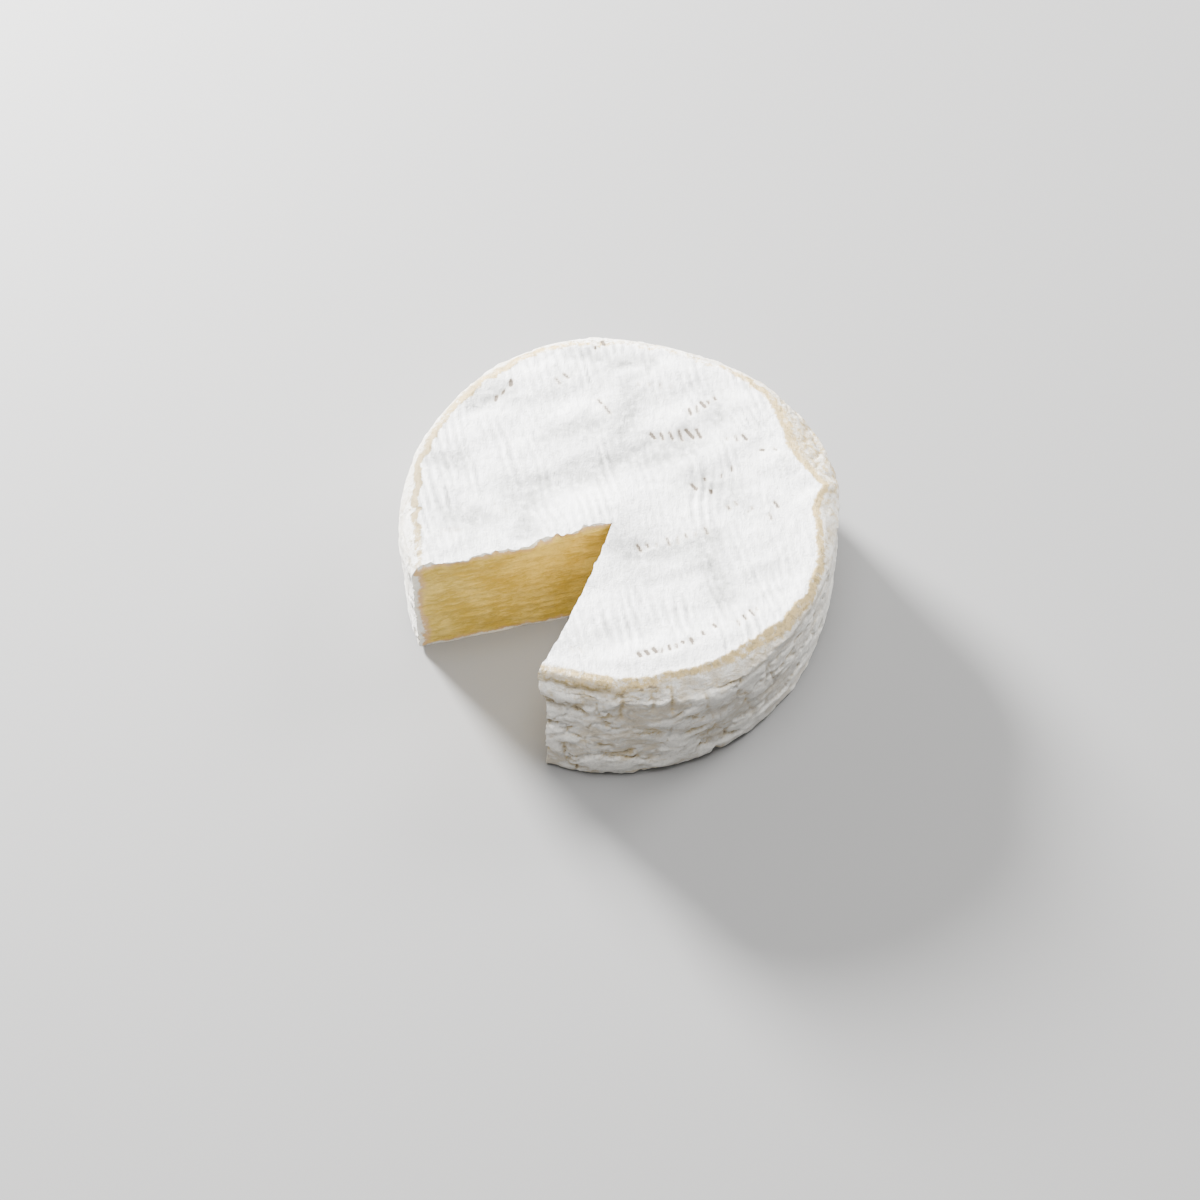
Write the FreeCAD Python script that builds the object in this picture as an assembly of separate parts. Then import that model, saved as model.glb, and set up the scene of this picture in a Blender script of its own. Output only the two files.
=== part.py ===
"""A camembert wheel with one wedge cut out, as one solid piece of cheese, in millimetres.

The wheel stands on its flat base with +Z up and its axis on the origin. Its outline is a little out of round,
its side leans out slightly over a rounded foot, and its shoulder is rounded off, widely where it has slumped.
The top face is dished inside its rim, with low rolls across it and a hump by the point of the cut. The wedge
was cut out with two straight cuts that go right through.
"""

import FreeCAD
import Part

import math
import os

# The wheel
wheel_radius = 53.0         # mean radius at the widest height
wheel_height = 35.0         # base to the crest of the rim
foot_inset = 0.5            # how much narrower the wheel is just over its foot than at its widest
widest_height = 20.0        # height of the widest ring above the base
foot_round = 2.0            # radius of the rounded lower edge

# The shoulder between side and top
shoulder_width = 4.6        # how far the rounding reaches in from the side
shoulder_drop = 3.7         # how far it comes down from the crest
slump_width = 3.8           # extra width where the shoulder has slumped
slump_drop = 3.4            # extra drop at the same place
slump_middle = 27.0         # direction of the slump, degrees round from +X
slump_spread = 16.0         # degrees from its middle to where it is down to 60%

# The outline: (lobes round the wheel, height of a lobe, direction of the first lobe in degrees)
outline_lobes = ((2, 0.29, 80.0), (3, 0.71, 14.2), (4, 0.48, 19.2), (5, 0.38, 31.6))

# The top face
crest_land = 1.0            # width of the level crest, in from the shoulder
dish_depth = 0.9            # how far the middle lies below the crest
roll_height = 0.40          # half the height of the rolls that cross the top
roll_spacing = 13.0         # from one roll to the next
roll_heading = 20.0         # direction the rolls run in, degrees round from +X
hump_height = 2.8           # the hump by the point of the cut
hump_middle = (-4.4, -3.8)
hump_spread = 7.5           # from its middle to where it is down to 60%

# The cut
wedge_point = (-1.6, -6.0)  # where its two faces meet
wedge_start = 194.2         # direction of the first face from that point, degrees round from +X
wedge_angle = 54.0          # opening between the faces

# How finely the shapes are drawn
ring_points = 48            # points round each ring
round_steps = 4             # rings over each rounded edge
sheet_step = 4.5            # spacing of the points that the top face goes through
overshoot = 6.0             # how far cutting shapes reach past the wheel


def out_of_round(angle):
    """How far the outline stands out from the mean circle, at an angle in radians."""
    return sum(
        height * math.cos(count * (angle - math.radians(first)))
        for count, height, first in outline_lobes
    )


def slump(angle):
    """Share of the slump that is felt at an angle in radians: 1 at its middle, falling to 0."""
    away = math.remainder(angle - math.radians(slump_middle), 2 * math.pi)
    return math.exp(-0.5 * (away / math.radians(slump_spread)) ** 2)


def ring(height_at, inset_at):
    """A closed ring round the wheel. Both arguments give millimetres from an angle in radians."""
    points = []
    for i in range(ring_points):
        angle = 2 * math.pi * i / ring_points
        radius = wheel_radius + out_of_round(angle) - inset_at(angle)
        points.append(
            FreeCAD.Vector(radius * math.cos(angle), radius * math.sin(angle), height_at(angle))
        )
    curve = Part.BSplineCurve()
    curve.interpolate(Points=points, PeriodicFlag=True)
    return Part.Wire([curve.toShape()])


def side_inset(height):
    """How far the side stands in from its widest ring, at a height above the base."""
    below = max(0.0, widest_height - height) / (widest_height - foot_round)
    return foot_inset * below ** 2


def foot_rings():
    """Rings up the rounded lower edge, from the base to the foot of the side."""
    rings = []
    for step in range(round_steps):
        turn = math.pi / 2 * step / round_steps
        height = foot_round * (1 - math.cos(turn))
        inset = side_inset(foot_round) + foot_round * (1 - math.sin(turn))
        rings.append(ring(lambda a, h=height: h, lambda a, i=inset: i))
    return rings


def side_rings():
    """Rings up the side, from the top of the foot to below the shoulder."""
    low, high = foot_round, wheel_height - shoulder_drop - slump_drop
    rings = []
    for share in (0.0, 0.25, 0.5, 0.75):
        height = low + share * (high - low)
        inset = side_inset(height)
        rings.append(ring(lambda a, h=height: h, lambda a, i=inset: i))
    return rings


def shoulder_rings():
    """Rings over the shoulder, from the side to the crest of the rim."""
    rings = []
    for step in range(round_steps + 1):
        turn = math.pi / 2 * step / round_steps
        rise, inward = math.sin(turn), 1 - math.cos(turn)
        rings.append(
            ring(
                lambda a, r=rise: wheel_height - (1 - r) * (shoulder_drop + slump_drop * slump(a)),
                lambda a, w=inward: w * (shoulder_width + slump_width * slump(a)),
            )
        )
    return rings


def wheel():
    """The whole wheel, with a level top inside its crest."""
    return Part.makeLoft(foot_rings() + side_rings() + shoulder_rings(), True, False)


def cap():
    """A plug on the top, inside the crest, that gives the hump its height."""
    low = wheel_height - 1.0
    edge = ring(
        lambda a: low,
        lambda a: shoulder_width + slump_width * slump(a) + 2.5 * crest_land,
    )
    return Part.Face(edge).extrude(FreeCAD.Vector(0, 0, 1.0 + hump_height + 1.0))


def top_level(x, y):
    """Height of the top face over a point. It meets the level crest where the dish ends."""
    angle = math.atan2(y, x)
    reach = wheel_radius - shoulder_width - crest_land
    rim = reach + out_of_round(angle) - slump_width * slump(angle)
    out = (x * x + y * y) / (rim * rim)
    inside = max(0.0, 1 - out)
    heading = math.radians(roll_heading)
    across = y * math.cos(heading) - x * math.sin(heading)
    roll = roll_height * math.cos(2 * math.pi * across / roll_spacing)
    away = math.hypot(x - hump_middle[0], y - hump_middle[1]) / hump_spread
    hump = hump_height * math.exp(-0.5 * away ** 2)
    return wheel_height - dish_depth * (1 - out) + roll * inside + hump


def above_the_top():
    """What is cut away over the top: its underside is one smooth sheet."""
    half = wheel_radius + overshoot
    count = 2 * math.ceil(half / sheet_step)
    places = [-half + 2 * half * i / count for i in range(count + 1)]
    sheet = Part.BSplineSurface()
    sheet.interpolate([[FreeCAD.Vector(x, y, top_level(x, y)) for y in places] for x in places])
    return sheet.toShape().extrude(FreeCAD.Vector(0, 0, wheel_height))


def wedge():
    """The wedge that was cut out, reaching past the wheel above, below and outside."""
    x, y = wedge_point
    reach = 2 * wheel_radius
    tip = FreeCAD.Vector(x, y, -overshoot)
    ends = [
        tip + reach * FreeCAD.Vector(math.cos(a), math.sin(a), 0)
        for a in (math.radians(wedge_start), math.radians(wedge_start + wedge_angle))
    ]
    outline = Part.makePolygon([tip, *ends, tip])
    return Part.Face(outline).extrude(FreeCAD.Vector(0, 0, wheel_height + 3 * overshoot))


def cheese():
    """The cheese as it is left once the wedge has gone."""
    return wheel().fuse(cap()).cut(above_the_top()).cut(wedge())


os.makedirs("parts", exist_ok=True)
solids = cheese().Solids
assert len(solids) == 1 and solids[0].isValid(), "the cheese isn't one sound solid"
solids[0].exportStep("parts/cheese.step")
box = solids[0].optimalBoundingBox(True, False)
print(
    "cheese: %.1f x %.1f x %.1f mm, %.1f cm3, %d faces"
    % (box.XLength, box.YLength, box.ZLength, solids[0].Volume / 1000, len(solids[0].Faces))
)
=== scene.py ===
"""A camembert with one wedge cut out: its white rind, its cut faces, and the floor, light and camera."""

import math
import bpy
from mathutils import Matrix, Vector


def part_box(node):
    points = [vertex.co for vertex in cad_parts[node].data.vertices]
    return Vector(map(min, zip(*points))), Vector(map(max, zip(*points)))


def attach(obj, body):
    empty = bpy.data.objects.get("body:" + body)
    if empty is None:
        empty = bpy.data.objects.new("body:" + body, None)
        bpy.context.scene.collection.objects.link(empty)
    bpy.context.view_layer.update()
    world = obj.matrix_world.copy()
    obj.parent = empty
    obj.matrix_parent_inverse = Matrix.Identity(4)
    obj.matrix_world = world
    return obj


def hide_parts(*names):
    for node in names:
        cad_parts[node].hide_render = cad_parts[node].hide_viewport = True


bl_info = {
    "name": "Camembert with a wedge cut out",
    "version": (1, 0, 0),
    "blender": (4, 5, 0),
    "location": "3D View > Sidebar > Cheese",
    "description": "Makes a white-rinded soft cheese with a wedge cut out, and the stage that it lies on",
    "category": "Object",
}

import bmesh
import bpy
import numpy as np
from mathutils import Vector

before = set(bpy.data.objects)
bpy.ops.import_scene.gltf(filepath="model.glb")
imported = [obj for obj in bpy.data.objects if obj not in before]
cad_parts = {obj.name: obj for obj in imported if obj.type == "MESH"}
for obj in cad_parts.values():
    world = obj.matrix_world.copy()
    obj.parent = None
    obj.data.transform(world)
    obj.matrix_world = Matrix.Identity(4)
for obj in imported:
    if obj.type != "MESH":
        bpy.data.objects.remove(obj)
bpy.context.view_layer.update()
CHEESE_LOW, CHEESE_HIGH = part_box("cheese")

MM = 0.001

# The wheel's outline: lobes round it, height of a lobe in mm, direction of the first lobe in degrees
LOBES = ((2, 0.29, 80.0), (3, 0.71, 14.2), (4, 0.48, 19.2), (5, 0.38, 31.6))

# How far the worn shoulder reaches in from the side, in mm: at rest, then (direction, extra, spread in degrees)
SHOULDER = 2.5
SHOULDER_SWELLS = (
    (183.0, 2.4, 12.0),
    (23.0, 6.3, 12.0),
    (359.0, 2.6, 5.0),
    (350.0, 1.8, 6.0),
    (7.5, -1.9, 2.0),
    (328.0, -0.6, 13.0),
    (287.0, 3.2, 24.0),
    (252.0, 3.7, 12.0),
    (102.0, 1.4, 34.0),
)

# How the worn tan band lies on the shoulder: width in mm and strength from 0 to 1, each at rest and then
# (direction, extra, spread in degrees)
BAND_WIDTH = 1.3
BAND_WIDTH_SWELLS = ((30.0, 1.6, 11.0), (262.0, 1.9, 11.0), (318.0, 1.4, 14.0), (130.0, 0.9, 18.0))
BAND_TONE = 0.42
BAND_TONE_SWELLS = (
    (262.0, 0.35, 12.0),
    (292.0, 0.35, 9.0),
    (322.0, 0.45, 12.0),
    (352.0, 0.40, 14.0),
    (22.0, 0.40, 16.0),
    (48.0, 0.25, 9.0),
    (126.0, 0.42, 18.0),
    (172.0, 0.62, 16.0),
)

# Rows of short marks that the draining mat pressed into the top:
# start and end (mm), number of marks, length (mm), darkness from 0 to 1, slant (degrees)
MAT_MARKS = (
    ((-30.0, 33.0), (-26.5, 37.0), 3, 1.7, 1.0, 76),
    ((-15.0, 38.0), (-13.0, 39.5), 2, 1.7, 0.8, 138),
    ((-4.5, 32.0), (-3.0, 29.5), 2, 1.8, 0.8, 132),
    ((5.0, 37.0), (13.0, 36.5), 4, 1.2, 0.50, 112),
    ((17.5, 29.0), (24.0, 33.0), 5, 1.9, 0.92, 115),
    ((8.5, 21.5), (19.5, 22.5), 6, 2.7, 0.80, 110),
    ((26.5, 20.5), (30.5, 20.5), 3, 1.3, 0.70, 112),
    ((35.0, 17.0), (38.0, 17.5), 2, 1.0, 0.85, 160),
    ((18.0, 6.5), (21.0, 9.0), 2, 1.5, 0.80, 118),
    ((22.0, 5.0), (22.5, 5.0), 1, 0.9, 0.95, 80),
    ((25.0, 10.0), (27.5, 12.0), 2, 1.6, 0.80, 98),
    ((26.0, 0.0), (31.0, -1.0), 2, 0.8, 0.70, 120),
    ((28.0, 1.5), (32.0, 0.0), 2, 1.0, 0.80, 130),
    ((36.0, -2.5), (37.5, 1.0), 2, 1.3, 0.80, 118),
    ((4.5, -12.0), (20.5, -6.5), 8, 1.4, 0.65, 107),
    ((27.5, -32.5), (32.0, -28.5), 4, 1.2, 0.6, 107),
    ((4.5, -41.5), (16.5, -37.5), 8, 1.1, 0.85, 107),
    ((16.5, -37.5), (22.0, -33.5), 3, 1.0, 0.7, 107),
    ((-11.0, -40.0), (-7.0, -40.5), 3, 1.4, 0.35, 107),
    ((-29.5, 1.5), (-27.0, -0.5), 2, 1.0, 0.35, 107),
    ((-42.5, -6.5), (-38.0, -6.5), 5, 1.2, 0.3, 107),
    ((-5.5, 48.5), (-4.0, 50.0), 2, 1.0, 1.0, 107),
)

# Hollows of the top, where the mould is thin, painted grey as thin mould and as painted shade: start, end, half
# width and depth, all in mm
HOLLOWS = (
    ((-35.0, 32.0), (-28.0, 34.5), 2.6, 0.55),
    ((-11.0, 45.0), (7.5, 44.0), 1.7, 0.45),
    ((4.5, 44.5), (8.0, 43.5), 1.8, 0.45),
    ((3.0, 35.0), (1.5, 23.0), 2.8, 0.30),
    ((-23.5, 3.0), (-4.0, 11.5), 4.0, 1.15),
    ((-2.0, 13.5), (18.0, 18.5), 3.4, 1.00),
    ((-23.5, 2.0), (-21.5, -7.0), 2.2, 0.70),
    ((-16.0, 22.0), (-4.0, 24.5), 2.6, 0.35),
    ((20.0, -12.0), (25.0, -26.0), 2.4, 0.35),
    ((-32.0, -3.0), (-40.0, -2.0), 2.6, 0.30),
    ((-44.0, 13.5), (-38.0, 13.5), 1.8, 0.35),
    ((24.5, 31.0), (24.0, 25.5), 2.6, 0.35),
    ((3.0, -14.5), (22.0, -9.5), 2.6, 0.30),
    ((20.0, 7.5), (28.0, 4.0), 3.2, 0.25),
)

# Places round the wheel, as (direction, spread) in degrees. The front corner is the outer end of the second cut.
LEANING_CORNER = (256.0, 13.0)
CALM_CORNER = (256.0, 9.0)
FULL_CORNER = (254.0, 10.0)
LIP = (257.0, 10.0)
SHADE_UNDER_LIP = (257.0, 12.0)
RAISED_LIP = (270.0, 7.0)
FRONT = (272.0, 34.0)
STAINED_FRONT = (272.0, 30.0)
STEEP_FRONT = (287.0, 20.0)
CHAMFERED_FRONT = (295.0, 18.0)
STEEP_LEFT = (189.0, 12.0)
BROWN_LEFT = (172.0, 24.0)
SLUMP = (22.0, 16.0)
CHIP = (296.0, 0.7)

# Upright veins of the side below the rim: direction (degrees), foot and head (mm)
VEINS = ((278.0, 27.0, 36.0), (283.5, 25.0, 33.0), (270.5, 24.0, 31.0), (5.5, 28.0, 35.0))

# The long crack and the pale graze of the side: direction (degrees) at a height (mm), and degrees for each mm down
CRACK = (290.9, 35.0, 0.22)
GRAZE = (303.3, 23.5, 0.28)

# The hump by the point of the cut: its middle and spread (mm)
HUMP = ((-4.4, -3.8), 7.5)

# The low rolls and the fine ridges of the top: their directions (radians),
# and the middle of the patch where the ridges bend round (mm)
ROLL_TURN = 0.35
RIDGE_TURN = 0.27
BENT_RIDGES = (21.0, 0.5)

# The soft lights of the stage: name, size and place, in metres. They all look at the cheese.
LIGHTS = (
    ("key", 0.22, (-0.52, 0.62, 0.36)),
    ("second", 0.30, (0.55, 0.40, 0.50)),
    ("overhead", 0.60, (0.0, -0.05, 0.95)),
)
LIT_POINT = (0.0, 0.0, 0.02)


# ---------------------------------------------------------------- sizes and colours that a user may change


def a_length(name, description, default):
    """A size in metres."""
    return bpy.props.FloatProperty(name=name, description=description, default=default, unit="LENGTH")


def an_angle(name, description, default):
    """An angle, with its default in degrees."""
    return bpy.props.FloatProperty(
        name=name, description=description, default=math.radians(default), subtype="ANGLE"
    )


def a_power(name, description, default):
    """The power of a light."""
    return bpy.props.FloatProperty(name=name, description=description, default=default, subtype="POWER")


def a_colour(name, description, default):
    """A colour, red, green and blue from 0 to 1."""
    return bpy.props.FloatVectorProperty(
        name=name, description=description, default=default, size=3, subtype="COLOR", min=0, max=1
    )


class CheeseSizes(bpy.types.PropertyGroup):
    """The sizes of the cheese"""

    radius: a_length("Radius", "Mean radius at the widest height", (CHEESE_HIGH.x - CHEESE_LOW.x) / 2)
    rim_height: a_length("Rim height", "From the base to the crest of the rim", 0.035)
    dish: a_length("Dish", "How far the middle of the top lies below the rim", 0.0009)
    hump: a_length("Hump", "Height of the hump by the point of the cut", 0.0033)
    ridge: a_length("Mat ridge", "Height of the fine ridges of the top", 0.00030)
    ridge_pitch: a_length("Mat ridge pitch", "From one fine ridge of the top to the next", 0.0022)
    wrinkle: a_length("Wrinkle", "Depth of the wrinkles of the side", 0.0010)
    lip: a_length("Lip", "How far the top rind stands out over the front of the side", 0.0006)
    grain: a_length("Mesh grain", "Side of one face of the finished mesh", 0.00050)


class CutSizes(bpy.types.PropertyGroup):
    """The sizes of the cut"""

    point: bpy.props.FloatVectorProperty(
        name="Point", description="Where the two cut faces meet", size=2, default=(-0.0016, -0.0060), subtype="XYZ"
    )
    start: an_angle("Start", "Direction of the first cut face, round from +X", 194.2)
    opening: an_angle("Opening", "Angle between the two cut faces", 54.0)
    undercut: a_length("Undercut", "How far the second cut face is set back under the rind at its outer end", 0.0021)
    flare: a_length("Flare", "How far the top rind stands out at the outer end of the second cut face", 0.0011)
    edge_roll: a_length("Edge roll", "How far the rind is dragged in over the upper edge of a cut face", 0.0010)
    drag: a_length("Knife drag", "Height of the marks that the knife left", 0.00016)


class CheeseColours(bpy.types.PropertyGroup):
    """The colours of the cheese"""

    mould: a_colour("Mould", "White mould of the top", (0.905, 0.90, 0.885))
    # Thin mould is also the painted shade between the fibres, in the troughs of the fine ridges, in the hollows and
    # between the folds of the side
    thin_mould_and_shade: a_colour("Thin mould", "Greyer mould in the hollows", (0.37, 0.37, 0.355))
    side_mould: a_colour("Side mould", "Mould of the side", (0.78, 0.755, 0.695))
    tan: a_colour("Tan", "Bare rind of the rim and of the creases", (0.50, 0.355, 0.13))
    # Brown also paints the shade under the lip
    brown: a_colour("Brown", "Darker flecks of the bare rind", (0.24, 0.18, 0.07))
    # Mark also darkens the deepest creases, partly as dark rind and partly as painted shade
    mark: a_colour("Mark", "The darkest of the marks and creases", (0.105, 0.078, 0.055))
    paste: a_colour("Paste", "The ripe cheese inside", (0.575, 0.40, 0.055))
    pale_paste: a_colour("Pale paste", "The paler streaks of the cheese inside", (0.82, 0.63, 0.165))
    stain: a_colour("Stain", "Soft tan clouds of the side", (0.50, 0.42, 0.30))
    skin: a_colour("Skin", "The pinkish layer between the rind and the inside", (0.68, 0.45, 0.24))


class StageSettings(bpy.types.PropertyGroup):
    """The floor, the light and the camera"""

    floor: a_colour("Floor", "Colour of the floor", (0.22, 0.218, 0.215))
    key: a_power("Key light", "Power of the soft light behind on the left", 84.0)
    second: a_power("Second light", "Power of the soft light behind on the right", 9.0)
    overhead: a_power("Overhead light", "Power of the soft light overhead", 13.0)
    sky: bpy.props.FloatProperty(name="Sky", description="Strength of the light from all round", default=0.47)
    eye: bpy.props.FloatVectorProperty(
        name="Camera", description="Where the camera stands", size=3, subtype="XYZ",
        default=(-0.00455, -0.32608, 0.50713),
    )
    pitch: an_angle("Pitch", "How far the camera looks down", 57.59)
    lens: bpy.props.FloatProperty(name="Lens", description="Focal length", default=72.0, unit="CAMERA")


# ---------------------------------------------------------------- numbers that vary over the surface


def cell_value(ix, iy, iz, seed):
    """A fixed value from -1 to 1 for each whole-number cell."""
    h = (ix * 374761393 + iy * 668265263 + iz * 1103515245 + seed * 362437) & 0xFFFFFFFF
    h = ((h ^ (h >> 13)) * 1274126177) & 0xFFFFFFFF
    h = h ^ (h >> 16)
    return (h & 0xFFFFFF) / 0x7FFFFF - 1.0


def uneven(x, y, z=0.0, seed=1):
    """Smooth unevenness from -1 to 1, about one swell to a unit."""
    x, y, z = np.broadcast_arrays(np.asarray(x, float), np.asarray(y, float), np.asarray(z, float))
    cells = [np.floor(a).astype(np.int64) for a in (x, y, z)]
    parts = [a - c for a, c in zip((x, y, z), cells)]
    ease = [p * p * p * (p * (p * 6 - 15) + 10) for p in parts]
    total = np.zeros(x.shape)
    for i in (0, 1):
        for j in (0, 1):
            for k in (0, 1):
                share = (
                    (ease[0] if i else 1 - ease[0])
                    * (ease[1] if j else 1 - ease[1])
                    * (ease[2] if k else 1 - ease[2])
                )
                total += share * cell_value(cells[0] + i, cells[1] + j, cells[2] + k, seed)
    return total


def rough(x, y, z=0.0, seed=1, layers=3):
    """Unevenness with finer and finer layers on it, from about -1 to 1."""
    x, y, z = (np.asarray(a) for a in (x, y, z))
    total, height, scale = 0.0, 0.5, 1.0
    for layer in range(layers):
        total = total + height * uneven(x * scale, y * scale, z * scale, seed + layer)
        height, scale = height * 0.55, scale * 2.03
    return total * 1.6


def smooth(value, low, high):
    """0 below low, 1 above high, and a smooth step between them."""
    share = np.clip((value - low) / (high - low), 0.0, 1.0)
    return share * share * (3 - 2 * share)


def bell(value, spread):
    """1 at zero, falling to 0.6 at the spread."""
    return np.exp(-0.5 * (value / spread) ** 2)


def turned(angle, middle):
    """Degrees from a direction, between -180 and 180. The angle is in radians."""
    return (np.degrees(angle) - middle + 180.0) % 360.0 - 180.0


def near(angle, place):
    """1 at a place round the wheel, falling off over its spread. The place is (direction, spread) in degrees."""
    return bell(turned(angle, place[0]), place[1])


def swells(angle, rest, parts):
    """A value at rest with swells of (direction, extra, spread) on it."""
    return rest + sum(extra * near(angle, (middle, spread)) for middle, extra, spread in parts)


def from_stroke(x, y, start, end):
    """Distance from a straight stroke."""
    run = np.array(end) - np.array(start)
    run_squared = float(run @ run) or 1.0
    share = np.clip(((x - start[0]) * run[0] + (y - start[1]) * run[1]) / run_squared, 0.0, 1.0)
    return np.hypot(x - start[0] - share * run[0], y - start[1] - share * run[1])


# ---------------------------------------------------------------- the form of the wheel, in millimetres


def out_of_round(angle):
    """How far the outline stands out from the mean circle."""
    return sum(h * np.cos(n * (angle - math.radians(first))) for n, h, first in LOBES)


def shoulder_reach(angle):
    """How far the shoulder reaches in from the side."""
    return np.maximum(swells(angle, SHOULDER, SHOULDER_SWELLS), 0.9)


def shoulder_fall(angle):
    """How far the shoulder comes down from the crest."""
    steep = 1.2 * near(angle, STEEP_FRONT) + 1.5 * near(angle, STEEP_LEFT) - 1.0 * near(angle, FULL_CORNER)
    return 1.3 + 0.52 * shoulder_reach(angle) + steep


class Form:
    """The wheel's main sizes in millimetres, and its surfaces as functions of place."""

    def __init__(self, scene):
        sizes, cut = scene.cheese_sizes, scene.cheese_cut
        self.radius = sizes.radius / MM
        self.height = sizes.rim_height / MM
        self.dish = sizes.dish / MM
        self.hump = sizes.hump / MM
        self.ridge = sizes.ridge / MM
        self.ridge_pitch = sizes.ridge_pitch / MM
        self.wrinkle = sizes.wrinkle / MM
        self.lip = sizes.lip / MM
        self.point = (cut.point[0] / MM, cut.point[1] / MM)
        self.start, self.opening = cut.start, cut.opening
        self.undercut = cut.undercut / MM
        self.flare = cut.flare / MM
        self.edge_roll = cut.edge_roll / MM
        self.drag = cut.drag / MM

    def side(self, angle):
        """Radius of the side."""
        return self.radius + out_of_round(angle)

    def crest(self, angle):
        """Radius of the line where the top ends and the shoulder begins."""
        ragged = 0.50 * uneven(angle * 14.0, 0.0, seed=5) + 0.35 * uneven(angle * 37.0, 0.0, seed=6)
        ragged = ragged + 0.15 * uneven(angle * 90.0, 0.0, seed=7)
        ragged = ragged * (1 - 0.75 * near(angle, CALM_CORNER))
        return self.side(angle) - shoulder_reach(angle) + ragged

    def lean(self, angle, z):
        """How far the side leans in towards its top, by the front corner."""
        return 3.0 * near(angle, LEANING_CORNER) * smooth(z, 8.0, 30.0)

    def upright(self, r, angle, z):
        """The radius that a point of the side or the shoulder would have without the lean."""
        reach = shoulder_reach(angle)
        edge = self.side(angle) - reach
        return np.where(r > edge, edge + (r - edge) / (1 - self.lean(angle, z) / reach), r)

    def way_down(self, r, angle, z):
        """How far a point lies past the crest: below 0 on the top, above 0 down the shoulder and the side."""
        out = r - self.crest(angle)
        return np.where(out > 0, np.hypot(out, np.maximum(self.height - 0.4 - z, 0)), out)

    def top(self, x, y):
        """Height of the top face, before its fine relief."""
        angle = np.arctan2(y, x)
        rim = self.side(angle) - shoulder_reach(angle) - 0.8
        inside = np.clip(1 - (x * x + y * y) / (rim * rim), 0.0, 1.0)
        (hump_x, hump_y), spread = HUMP
        hump = self.hump * bell(np.hypot(x - hump_x, y - hump_y), spread)
        along = x * math.cos(ROLL_TURN) + y * math.sin(ROLL_TURN)
        across = y * math.cos(ROLL_TURN) - x * math.sin(ROLL_TURN)
        rolls = 0.55 * uneven(along / 26.0, across / 8.5, seed=11)
        rolls = rolls + 0.25 * uneven(along / 13.0, across / 5.0, seed=12)
        # they fade out by the crest and on the hump
        rolls = rolls * smooth(inside, 0.0, 0.18) * (1 - bell(np.hypot(x + 3.5, y + 4.5), 7.0))
        return self.height - self.dish * inside + hump + rolls

    def hollow(self, x, y):
        """How far a point lies in a grey hollow, from 0 to 1, and its depth."""
        share, depth = np.zeros_like(x), np.zeros_like(x)
        blur_x = x + 1.3 * uneven(x / 4.0, y / 4.0, seed=21)
        blur_y = y + 1.3 * uneven(x / 4.0, y / 4.0, seed=22)
        for start, end, width, fall in HOLLOWS:
            inside = bell(from_stroke(blur_x, blur_y, start, end), width)
            share = np.maximum(share, inside)
            depth = np.maximum(depth, inside * fall)
        return share, depth

    def across_ridges(self, x, y):
        """Place across the fine ridges, which bend round the right of the top."""
        bend_x, bend_y = BENT_RIDGES
        straight = x * math.cos(RIDGE_TURN) + y * math.sin(RIDGE_TURN)
        bent = 40.0 - np.hypot(x - bend_x - 20.0, y - bend_y)
        bend = bell(np.hypot(x - bend_x, (y - bend_y) / 1.3), 9.0)
        wander = 1.7 * uneven(x / 11.0, y / 17.0, seed=31) + 0.50 * uneven(x / 3.2, y / 6.5, seed=32)
        return straight + (bent - straight) * bend + wander

    def ridges(self, x, y):
        """The fine ridges of the top, from -1 to 1, stronger in some places."""
        across = self.across_ridges(x, y)
        wave = np.sin(2 * math.pi * across / self.ridge_pitch)
        along = y * math.cos(RIDGE_TURN) - x * math.sin(RIDGE_TURN)
        strength = 0.50 + 0.75 * uneven(across / 3.0, along / 8.0, seed=33)
        half = np.sin(4 * math.pi * across / self.ridge_pitch + 1.0)
        patch = 0.55 + 0.75 * uneven(x / 15.0, y / 15.0, seed=35)
        patch = np.maximum(patch, 0.85 * bell(np.hypot(x - 20.0, (y - 1.0) / 1.2), 6.0))
        wave = wave * 0.75 + 0.35 * half * uneven(across / 1.6, along / 4.0, seed=34)
        return wave * np.clip(strength, 0.05, 1.2) * np.clip(patch, 0.15, 1.2) * 1.5

    def marks(self, x, y):
        """The short marks of the mat, from 0 to 1."""
        share = np.zeros_like(x)
        for row, (start, end, count, length, dark, slant) in enumerate(MAT_MARKS):
            for i in range(count):
                part = i / (count - 1) if count > 1 else 0.5
                # each mark strays a little from its row, and differs a little in size and slant
                jig, jog = cell_value(row, i, 3, 7), cell_value(row, i, 9, 8)
                mx = start[0] + (end[0] - start[0]) * part + 0.25 * jig
                my = start[1] + (end[1] - start[1]) * part + 0.35 * jog
                size = length * (0.9 + 0.5 * jig)
                lean = math.radians(slant) + 0.35 * jog
                by = (np.abs(x - mx) < 4) & (np.abs(y - my) < 4)
                if not by.any():
                    continue
                thick = 0.33 + 0.05 * dark + 0.05 * jig
                hx, hy = math.cos(lean) * size / 2, math.sin(lean) * size / 2
                away = from_stroke(x[by], y[by], (mx - hx, my - hy), (mx + hx, my + hy))
                strong = dark * (0.85 + 0.25 * jog)
                share[by] = np.maximum(share[by], strong * bell(away, thick))
        return share

    def lip_line(self, angle):
        """Height of the foot of the lip."""
        line = self.height - 3.2 + 0.8 * near(angle, RAISED_LIP)
        return line + 0.45 * uneven(angle * 9.0, 0.0, seed=77) + 0.12 * uneven(angle * 37.0, 0.0, seed=79)

    def folds(self, angle, z):
        """Level folds of the side, from about -1 to 1."""
        around = angle * self.radius
        drift = 3.0 * uneven(around / 13.0, z / 10.0, seed=41)
        lift = 1.7 * uneven(around / 8.0, z / 7.0, seed=42) + 0.6 * uneven(around / 2.6, z / 3.0, seed=40)
        return rough((around + drift) / 10.0, (z + lift) / 3.3, seed=43, layers=3)

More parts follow.
